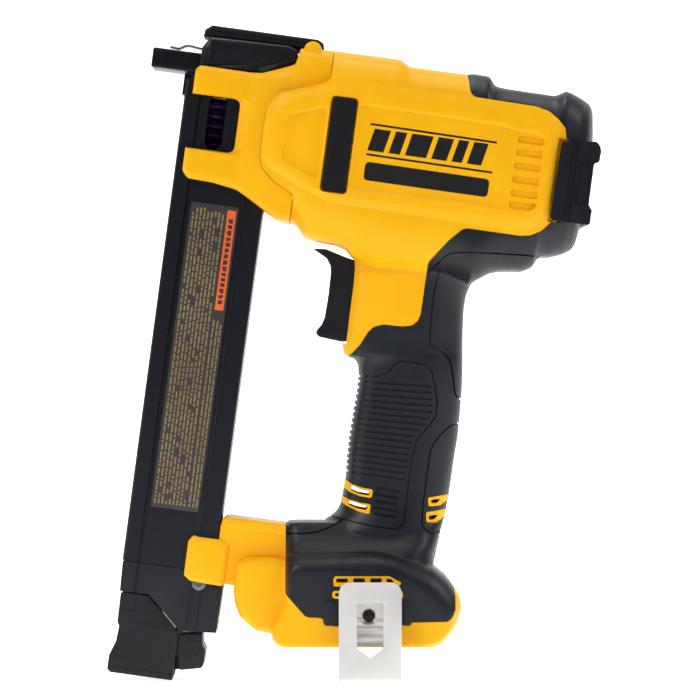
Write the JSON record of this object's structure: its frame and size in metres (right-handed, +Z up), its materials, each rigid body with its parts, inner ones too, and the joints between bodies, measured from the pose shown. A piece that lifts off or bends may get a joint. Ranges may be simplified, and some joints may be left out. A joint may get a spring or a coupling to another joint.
{
  "type": "cordless cable stapler",
  "caption": "Cordless nailer with a pistol grip, an upright slide-out magazine, a sprung nose, a trigger and an open battery foot, shown without its battery pack.",
  "frame": {"origin": "centre plane of the tool, on the bottom face of the battery foot's terminal carrier", "axes": "+X to the rear of the tool, +Y to the operator's right side of the tool when it fires towards -X, +Z up along the grip"},
  "size_m": [0.2457, 0.0884, 0.3273],
  "materials": {
    "yellow_shell": "satin moulded nylon, fine grain",
    "black_shell": "matt moulded nylon",
    "overmould": "soft matt overmould",
    "bumper_rubber": "matt rubber",
    "anodised": "black anodised, satin",
    "label": "printed film, blank bars for print",
    "steel": "machined steel",
    "bright_steel": "bright plated steel",
    "dark_screw": "black oxide",
    "spring_coil": "dark violet coated wire",
    "cast_aluminium": "die cast",
    "winding": "enamelled copper winding on a laminated core",
    "circuit_board": "coated circuit board",
    "terminal_plastic": "glass-filled nylon",
    "solenoid_case": "grey coated steel can",
    "wire_red": "insulated wire",
    "wire_black": "insulated wire"
  },
  "bodies": {
    "tool": {"main_housing_left": "yellow_shell", "main_housing_right": "yellow_shell", "grip_overmold_left": "overmould", "grip_overmold_right": "overmould", "front_housing_left": "yellow_shell", "front_housing_right": "yellow_shell", "nose_cover": "black_shell", "top_bumper": "bumper_rubber", "side_bumper_left": "bumper_rubber", "side_bumper_right": "bumper_rubber", "magazine_body": "anodised", "magazine_label": "label", "magazine_lower_block": "anodised", "clamp_screw": "steel", "nose_guide": "steel", "guide_clip_spring": "steel", "trip_spring": "steel", "driver_bumper": "bumper_rubber", "drive_frame": "cast_aluminium", "flywheel_stator": "winding", "axle": "steel", "bearing_left": "steel", "bearing_right": "steel", "arm_pin": "steel", "arm_solenoid": "solenoid_case", "arm_spring": "steel", "return_spring": "steel", "trigger_switch": "terminal_plastic", "trigger_spring": "steel", "control_board": "circuit_board", "terminal_block": "terminal_plastic", "power_wire_left": "wire_red", "power_wire_right": "wire_black", "belt_hook": "bright_steel", "hook_screw": "dark_screw", "housing_screw_front": "steel", "housing_screw_top": "steel", "housing_screw_rear": "steel", "housing_screw_grip": "steel", "housing_screw_foot": "steel"},
    "magazine_slide": {"end_cap": "black_shell", "magazine_rail": "bright_steel", "latch_pin": "steel", "latch_spring": "steel", "pusher_spring": "spring_coil"},
    "latch": {"latch": "black_shell"},
    "pusher": {"pusher": "steel"},
    "contact_trip": {"contact_trip": "anodised"},
    "driver": {"driver_blade": "bright_steel"},
    "flywheel": {"flywheel_rotor": "steel"},
    "pinch_arm": {"pinch_arm": "steel"},
    "pinch_roller": {"pinch_roller": "steel"},
    "plunger": {"solenoid_plunger": "bright_steel"},
    "trigger": {"trigger": "black_shell"},
    "cable_guide": {"cable_guide": "black_shell"}
  },
  "joints": [
    {"name": "magazine_slide_out", "type": "slide", "parent": "tool", "child": "magazine_slide", "axis": [-0.1323, 0, -0.9912], "range_m": [0, 0.16]},
    {"name": "latch_press", "type": "hinge", "parent": "magazine_slide", "child": "latch", "pos_m": [-0.0862, 0, 0.0004], "axis": [0, 1, 0], "range_deg": [0, 8], "stiffness_Nm_per_rad": 0.1, "springref_deg": -17.19, "deforming": ["latch_spring"]},
    {"name": "pusher_travel", "type": "slide", "parent": "magazine_slide", "child": "pusher", "axis": [-0.1323, 0, -0.9912], "range_m": [0, 0.05], "stiffness_N_per_m": 60, "springref_m": -0.1, "deforming": ["pusher_spring"]},
    {"name": "contact_trip_press", "type": "slide", "parent": "tool", "child": "contact_trip", "axis": [0.9912, 0, -0.1323], "range_m": [0, 0.008], "stiffness_N_per_m": 400, "springref_m": -0.01, "deforming": ["trip_spring"]},
    {"name": "driver_stroke", "type": "slide", "parent": "tool", "child": "driver", "axis": [-0.9912, 0, 0.1323], "range_m": [0, 0.052], "stiffness_N_per_m": 50, "springref_m": -0.05, "deforming": ["return_spring"]},
    {"name": "flywheel_spin", "type": "hinge", "parent": "tool", "child": "flywheel", "pos_m": [0.01496, 0, 0.2482], "axis": [0, 1, 0], "continuous": true},
    {"name": "pinch_arm_press", "type": "hinge", "parent": "tool", "child": "pinch_arm", "pos_m": [0.06036, 0, 0.2709], "axis": [0, -1, 0], "range_deg": [0, 2.2], "stiffness_Nm_per_rad": 1, "springref_deg": -8.59, "deforming": ["arm_spring"]},
    {"name": "pinch_roller_spin", "type": "hinge", "parent": "pinch_arm", "child": "pinch_roller", "pos_m": [0.0198, 0, 0.28448], "axis": [0, 1, 0], "continuous": true},
    {"name": "solenoid_pull", "type": "slide", "parent": "tool", "child": "plunger", "axis": [0.9912, 0, -0.1323], "range_m": [0, 0.0006]},
    {"name": "trigger_pull", "type": "slide", "parent": "tool", "child": "trigger", "axis": [0.9912, 0, -0.1323], "range_m": [0, 0.006], "stiffness_N_per_m": 500, "springref_m": -0.006, "deforming": ["trigger_spring"]},
    {"name": "cable_guide_off", "type": "slide", "parent": "tool", "child": "cable_guide", "axis": [0.9912, 0, -0.1323], "range_m": [0, 0.03]}
  ],
  "couplings": [
    {"joint": "solenoid_pull", "follows": "pinch_arm_press", "m_per_rad": 0.0108}
  ]
}
